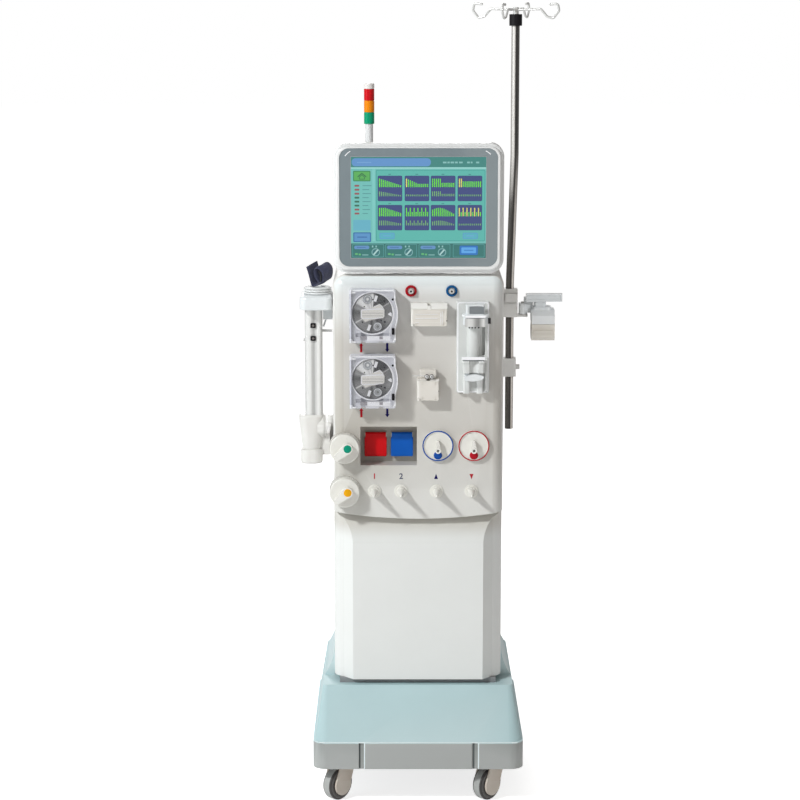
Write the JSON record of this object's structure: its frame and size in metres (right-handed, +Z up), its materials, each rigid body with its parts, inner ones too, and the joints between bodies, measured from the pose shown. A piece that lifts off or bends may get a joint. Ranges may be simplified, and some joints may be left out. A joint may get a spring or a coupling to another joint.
{
  "type": "dialysis machine",
  "caption": "Wheeled haemodialysis machine with touch screen, roller pumps, syringe pump, drip pole with hooks, filter holder and side tray with blood-pressure cuff.",
  "frame": {"origin": "point on the floor under the centre of the cabinet", "axes": "+Z up along the machine's height; the front with the screen faces -Y; +X is to the right of someone facing the front"},
  "size_m": [0.615, 0.564, 1.8096],
  "materials": {
    "cabinet_white": "satin",
    "panel_white": "satin",
    "base_pale": "satin",
    "frame_grey": "powder coated",
    "module_grey": "matte",
    "pump_white": "satin",
    "pump_clear": "clear moulded cover",
    "rotor_silver": "satin silver",
    "roller_pale": "smooth",
    "port_plastic": "satin",
    "sensor_cream": "satin",
    "flap_red": "satin",
    "flap_blue": "satin",
    "knob_white": "satin",
    "monitor_white": "satin",
    "screen_glass": "glossy",
    "steel": "brushed",
    "chrome_wire": "polished",
    "aluminium": "anodised",
    "bracket_beige": "satin",
    "holder_white": "satin",
    "caster_tan": "matte",
    "caster_tyre": "matte",
    "pedal_dark": "matte",
    "tower_lens": "translucent sections",
    "cuff_navy": "woven nylon",
    "hose_white": "matte"
  },
  "bodies": {
    "machine": {"base_cover": "base_pale", "chassis_frame": "frame_grey", "front_panel": "panel_white", "lower_panel": "panel_white", "rear_housing": "cabinet_white", "service_cover": "cabinet_white", "rear_fittings": "module_grey", "hydraulic_modules": "module_grey", "electronic_modules": "module_grey", "pump_head_upper": "pump_white", "pump_head_lower": "pump_white", "pressure_ports": "port_plastic", "air_detector": "port_plastic", "line_clamp": "port_plastic", "syringe_pump_body": "panel_white", "coupling_ports": "port_plastic", "fluid_ports": "port_plastic", "monitor_bracket": "steel", "signal_tower": "tower_lens", "pole_clamps": "bracket_beige", "side_arm_bracket": "panel_white"},
    "caster_front_left": {"caster_fork_front_left": "caster_tan"},
    "wheel_front_left": {"caster_wheel_front_left": "caster_tyre"},
    "pedal_front_left": {"brake_pedal_front_left": "pedal_dark"},
    "caster_front_right": {"caster_fork_front_right": "caster_tan"},
    "wheel_front_right": {"caster_wheel_front_right": "caster_tyre"},
    "pedal_front_right": {"brake_pedal_front_right": "pedal_dark"},
    "caster_rear_left": {"caster_fork_rear_left": "caster_tan"},
    "wheel_rear_left": {"caster_wheel_rear_left": "caster_tyre"},
    "caster_rear_right": {"caster_fork_rear_right": "caster_tan"},
    "wheel_rear_right": {"caster_wheel_rear_right": "caster_tyre"},
    "rotor_upper": {"pump_rotor_upper": "rotor_silver"},
    "roller_upper_a": {"pump_roller_upper_a": "roller_pale"},
    "roller_upper_b": {"pump_roller_upper_b": "roller_pale"},
    "door_upper": {"pump_door_upper": "pump_clear"},
    "rotor_lower": {"pump_rotor_lower": "rotor_silver"},
    "roller_lower_a": {"pump_roller_lower_a": "roller_pale"},
    "roller_lower_b": {"pump_roller_lower_b": "roller_pale"},
    "door_lower": {"pump_door_lower": "pump_clear"},
    "detector_door": {"air_detector_door": "sensor_cream"},
    "clamp_door": {"line_clamp_door": "sensor_cream"},
    "carriage": {"syringe_carriage": "pump_white"},
    "release": {"carriage_release": "pedal_dark"},
    "barrel_clamp": {"barrel_clamp": "pump_white"},
    "flap_red": {"concentrate_flap_red": "flap_red"},
    "flap_blue": {"concentrate_flap_blue": "flap_blue"},
    "knob_upper": {"selector_knob_upper": "knob_white"},
    "knob_lower": {"selector_knob_lower": "knob_white"},
    "monitor": {"monitor_housing": "monitor_white", "monitor_glass": "screen_glass"},
    "drip_pole": {"iv_pole": "steel"},
    "hooks": {"hook_head": "chrome_wire"},
    "filter_holder": {"dialyser_arm": "holder_white"},
    "holder_jaw": {"dialyser_jaw": "bracket_beige"},
    "side_arm": {"arm_elbow": "panel_white", "arm_column": "aluminium", "side_shelf": "holder_white", "cuff": "cuff_navy", "cuff_hose_coil": "hose_white", "cuff_hose_lead": "hose_white"}
  },
  "joints": [
    {"name": "swivel_front_left", "type": "hinge", "parent": "machine", "child": "caster_front_left", "pos_m": [-0.172, -0.265, 0.1], "axis": [0, 0, 1], "continuous": true},
    {"name": "roll_front_left", "type": "hinge", "parent": "caster_front_left", "child": "wheel_front_left", "pos_m": [-0.18538, -0.27986, 0.0375], "axis": [0.7431, -0.6691, 0], "continuous": true},
    {"name": "brake_front_left", "type": "hinge", "parent": "caster_front_left", "child": "pedal_front_left", "pos_m": [-0.19542, -0.29101, 0.0835], "axis": [0.7431, -0.6691, 0], "range_deg": [0, 15]},
    {"name": "swivel_front_right", "type": "hinge", "parent": "machine", "child": "caster_front_right", "pos_m": [0.172, -0.265, 0.1], "axis": [0, 0, 1], "continuous": true},
    {"name": "roll_front_right", "type": "hinge", "parent": "caster_front_right", "child": "wheel_front_right", "pos_m": [0.15862, -0.27986, 0.0375], "axis": [0.7431, -0.6691, 0], "continuous": true},
    {"name": "brake_front_right", "type": "hinge", "parent": "caster_front_right", "child": "pedal_front_right", "pos_m": [0.14858, -0.29101, 0.0835], "axis": [0.7431, -0.6691, 0], "range_deg": [0, 15]},
    {"name": "swivel_rear_left", "type": "hinge", "parent": "machine", "child": "caster_rear_left", "pos_m": [-0.172, 0.128, 0.1], "axis": [0, 0, 1], "continuous": true},
    {"name": "roll_rear_left", "type": "hinge", "parent": "caster_rear_left", "child": "wheel_rear_left", "pos_m": [-0.16355, 0.10987, 0.0375], "axis": [0.9063, 0.4226, 0], "continuous": true},
    {"name": "swivel_rear_right", "type": "hinge", "parent": "machine", "child": "caster_rear_right", "pos_m": [0.172, 0.128, 0.1], "axis": [0, 0, 1], "continuous": true},
    {"name": "roll_rear_right", "type": "hinge", "parent": "caster_rear_right", "child": "wheel_rear_right", "pos_m": [0.18045, 0.10987, 0.0375], "axis": [0.9063, 0.4226, 0], "continuous": true},
    {"name": "rotor_spin_upper", "type": "hinge", "parent": "machine", "child": "rotor_upper", "pos_m": [-0.1033, -0.2235, 1.1235], "axis": [0, 1, 0], "continuous": true},
    {"name": "roller_spin_upper_a", "type": "hinge", "parent": "rotor_upper", "child": "roller_upper_a", "pos_m": [-0.11459, -0.2235, 1.15451], "axis": [0, 1, 0], "continuous": true},
    {"name": "roller_spin_upper_b", "type": "hinge", "parent": "rotor_upper", "child": "roller_upper_b", "pos_m": [-0.09201, -0.2235, 1.09249], "axis": [0, 1, 0], "continuous": true},
    {"name": "door_upper_hinge", "type": "hinge", "parent": "machine", "child": "door_upper", "pos_m": [-0.1518, -0.2375, 1.1165], "axis": [0, 0, 1], "range_deg": [-110, 0]},
    {"name": "rotor_spin_lower", "type": "hinge", "parent": "machine", "child": "rotor_lower", "pos_m": [-0.1033, -0.2235, 0.9735], "axis": [0, 1, 0], "continuous": true},
    {"name": "roller_spin_lower_a", "type": "hinge", "parent": "rotor_lower", "child": "roller_lower_a", "pos_m": [-0.11459, -0.2235, 1.00451], "axis": [0, 1, 0], "continuous": true},
    {"name": "roller_spin_lower_b", "type": "hinge", "parent": "rotor_lower", "child": "roller_lower_b", "pos_m": [-0.09201, -0.2235, 0.94249], "axis": [0, 1, 0], "continuous": true},
    {"name": "door_lower_hinge", "type": "hinge", "parent": "machine", "child": "door_lower", "pos_m": [-0.1518, -0.2375, 0.9665], "axis": [0, 0, 1], "range_deg": [-110, 0]},
    {"name": "detector_door_hinge", "type": "hinge", "parent": "machine", "child": "detector_door", "pos_m": [-0.013, -0.2245, 1.113], "axis": [0, 0, 1], "range_deg": [-100, 0]},
    {"name": "clamp_door_hinge", "type": "hinge", "parent": "machine", "child": "clamp_door", "pos_m": [0.001, -0.2245, 0.943], "axis": [0, 0, 1], "range_deg": [-100, 0]},
    {"name": "carriage_slide", "type": "slide", "parent": "machine", "child": "carriage", "axis": [0, 0, -1], "range_m": [0, 0.07]},
    {"name": "release_press", "type": "slide", "parent": "carriage", "child": "release", "axis": [-1, 0, 0], "range_m": [0, 0.0025], "stiffness_N_per_m": 300},
    {"name": "barrel_clamp_swing", "type": "hinge", "parent": "machine", "child": "barrel_clamp", "pos_m": [0.111, -0.224, 0.978], "axis": [0, 1, 0], "range_deg": [0, 60]},
    {"name": "flap_red_hinge", "type": "hinge", "parent": "machine", "child": "flap_red", "pos_m": [-0.0975, -0.16, 0.833], "axis": [1, 0, 0], "range_deg": [-85, 0]},
    {"name": "flap_blue_hinge", "type": "hinge", "parent": "machine", "child": "flap_blue", "pos_m": [-0.037, -0.16, 0.833], "axis": [1, 0, 0], "range_deg": [-85, 0]},
    {"name": "knob_upper_turn", "type": "hinge", "parent": "machine", "child": "knob_upper", "pos_m": [-0.1675, -0.215, 0.81], "axis": [0, 1, 0], "range_deg": [-90, 90]},
    {"name": "knob_lower_turn", "type": "hinge", "parent": "machine", "child": "knob_lower", "pos_m": [-0.1675, -0.215, 0.7085], "axis": [0, 1, 0], "range_deg": [-90, 90]},
    {"name": "monitor_tilt", "type": "hinge", "parent": "machine", "child": "monitor", "pos_m": [0, -0.12, 1.228], "axis": [1, 0, 0], "range_deg": [-15, 0]},
    {"name": "pole_slide", "type": "slide", "parent": "machine", "child": "drip_pole", "axis": [0, 0, 1], "range_m": [0, 0.1]},
    {"name": "hook_turn", "type": "hinge", "parent": "drip_pole", "child": "hooks", "pos_m": [0.2256, 0.03, 1.767], "axis": [0, 0, 1], "continuous": true},
    {"name": "holder_swing", "type": "hinge", "parent": "machine", "child": "filter_holder", "pos_m": [0.248, 0.03, 1.086], "axis": [0, 0, 1], "range_deg": [-30, 60]},
    {"name": "jaw_hinge", "type": "hinge", "parent": "filter_holder", "child": "holder_jaw", "pos_m": [0.294, 0.047, 1.0685], "axis": [1, 0, 0], "range_deg": [0, 40]},
    {"name": "side_arm_swing", "type": "hinge", "parent": "machine", "child": "side_arm", "pos_m": [-0.206, 0.04, 0.798], "axis": [0, 0, 1], "range_deg": [-90, 0]}
  ]
}
